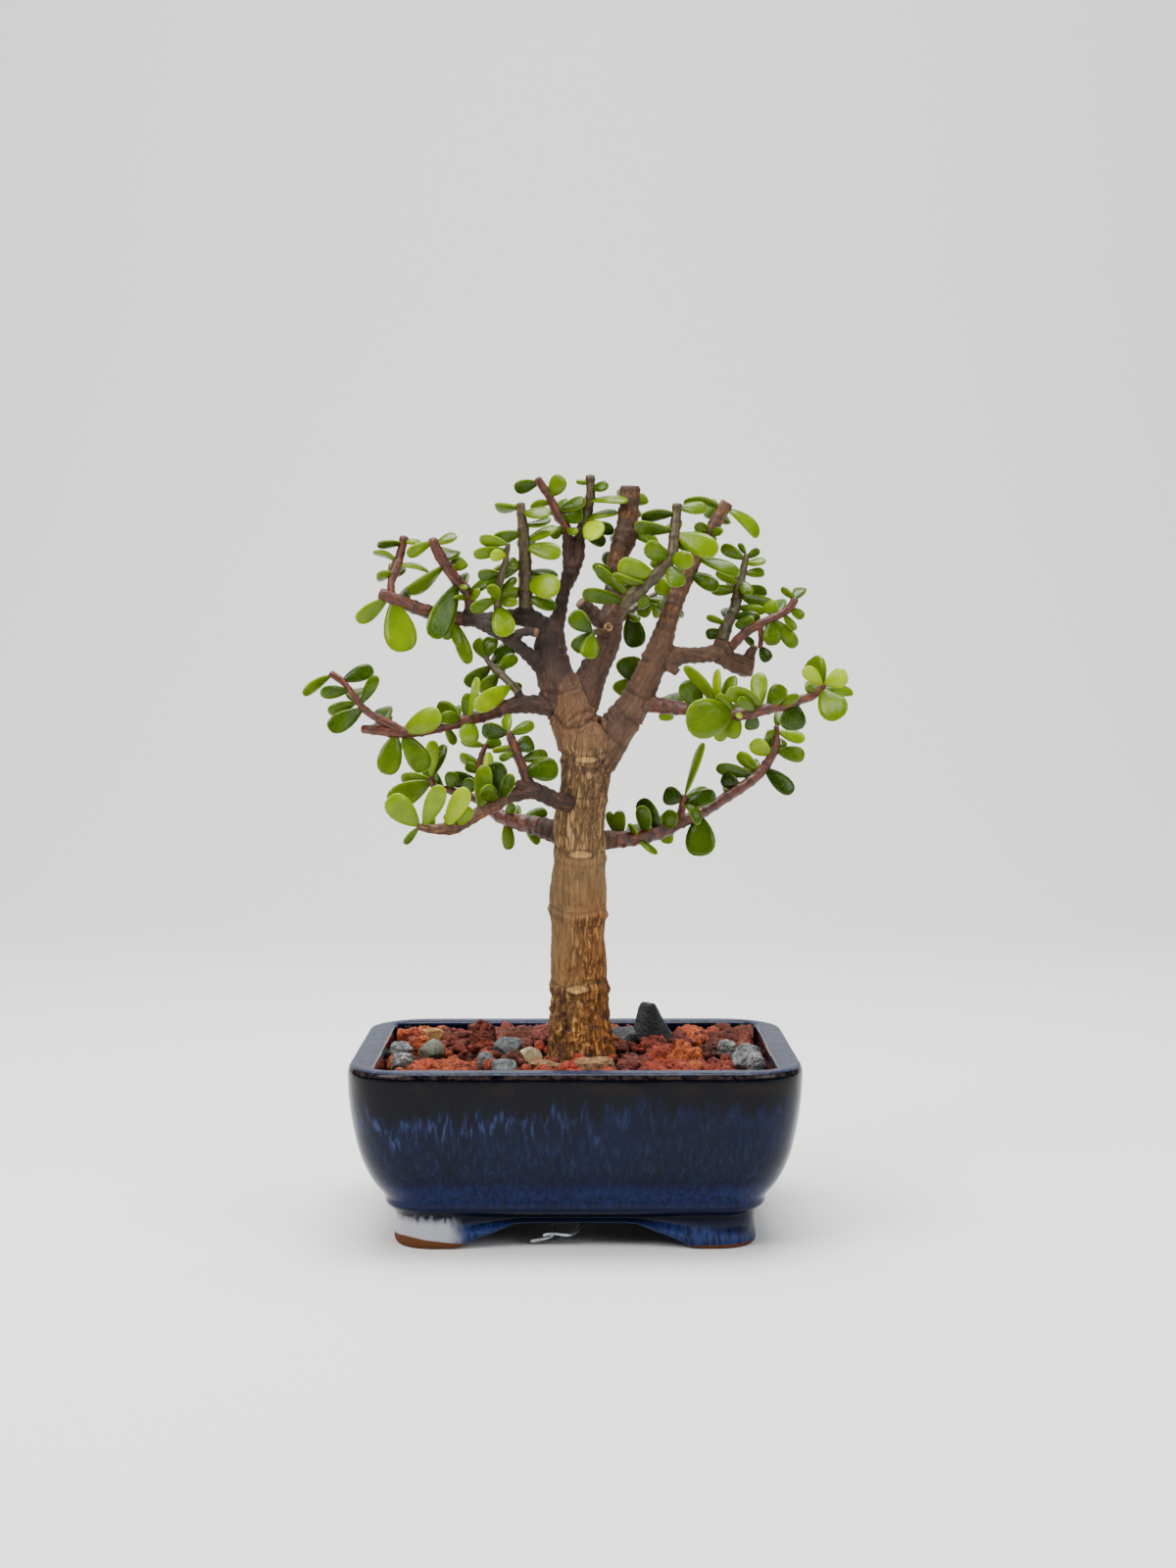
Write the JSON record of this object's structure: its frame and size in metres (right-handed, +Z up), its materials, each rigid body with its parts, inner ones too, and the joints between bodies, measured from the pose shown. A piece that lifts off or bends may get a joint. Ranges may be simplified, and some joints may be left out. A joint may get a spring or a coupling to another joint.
{
  "type": "potted bonsai",
  "caption": "Dwarf jade bonsai with a straight ringed trunk, cut-back limbs and small fleshy leaves, in a rounded rectangular glazed pot topped with lava grit.",
  "frame": {"origin": "middle of the pot's foot, on the surface that the pot stands on", "axes": "+Z up, +X along the pot's long side to the right as seen from the front, -Y towards the viewer"},
  "size_m": [0.1887, 0.122, 0.2608],
  "materials": {
    "bark_old": "matte",
    "glaze": "gloss",
    "lava": "matte",
    "leaf_bark_young": "satin",
    "leaf_stem_green": "satin",
    "leaf_stem_red": "satin",
    "mesh": "matte",
    "soil": "matte",
    "stone_bark": "matte",
    "stone_grey": "matte",
    "stone_lava_dark": "matte",
    "stone_olive": "matte",
    "stone_pale": "satin",
    "stone_pumice": "matte",
    "stone_slate": "matte",
    "stone_tan": "matte",
    "wire": "satin"
  },
  "bodies": {
    "root": {"bark_chip_centre": "stone_bark", "bark_chip_left": "stone_bark", "chip_tan": "stone_tan", "drain_mesh": "mesh", "lava_ball_dark": "stone_lava_dark", "lava_bed": "lava", "leafy_stem_centre_back": "leaf_stem_green", "leafy_stem_centre_front": "leaf_stem_green", "leafy_stem_centre_right": "leaf_stem_green", "leafy_stem_far_left": "leaf_stem_red", "leafy_stem_leader": "leaf_bark_young", "leafy_stem_left_inner": "leaf_stem_green", "leafy_stem_left_middle": "leaf_stem_red", "leafy_stem_left_middle_shoot": "leaf_stem_green", "leafy_stem_left_red": "leaf_stem_red", "leafy_stem_left_upright": "leaf_stem_green", "leafy_stem_low_left_back": "leaf_stem_red", "leafy_stem_low_left_front": "leaf_bark_young", "leafy_stem_low_left_up": "leaf_stem_red", "leafy_stem_low_right": "leaf_stem_red", "leafy_stem_right_back": "leaf_stem_green", "leafy_stem_right_leader": "leaf_bark_young", "leafy_stem_right_middle": "leaf_stem_red", "leafy_stem_right_outer": "leaf_stem_red", "leafy_stem_right_upper": "leaf_stem_green", "leafy_stem_top_centre": "leaf_stem_green", "leafy_stem_top_red": "leaf_stem_red", "mesh_clip_wire": "wire", "pebble_olive": "stone_olive", "pebble_pale": "stone_pale", "pot": "glaze", "pumice_left_back": "stone_pumice", "pumice_left_front": "stone_pumice", "pumice_right_back": "stone_pumice", "pumice_right_front": "stone_pumice", "pumice_right_long": "stone_pumice", "slate_chip_upright": "stone_slate", "soil": "soil", "stone_dark_right": "stone_slate", "stone_grey_angular": "stone_grey", "stone_grey_front": "stone_grey", "stone_grey_small": "stone_grey", "trunk": "bark_old"}
  },
  "joints": []
}
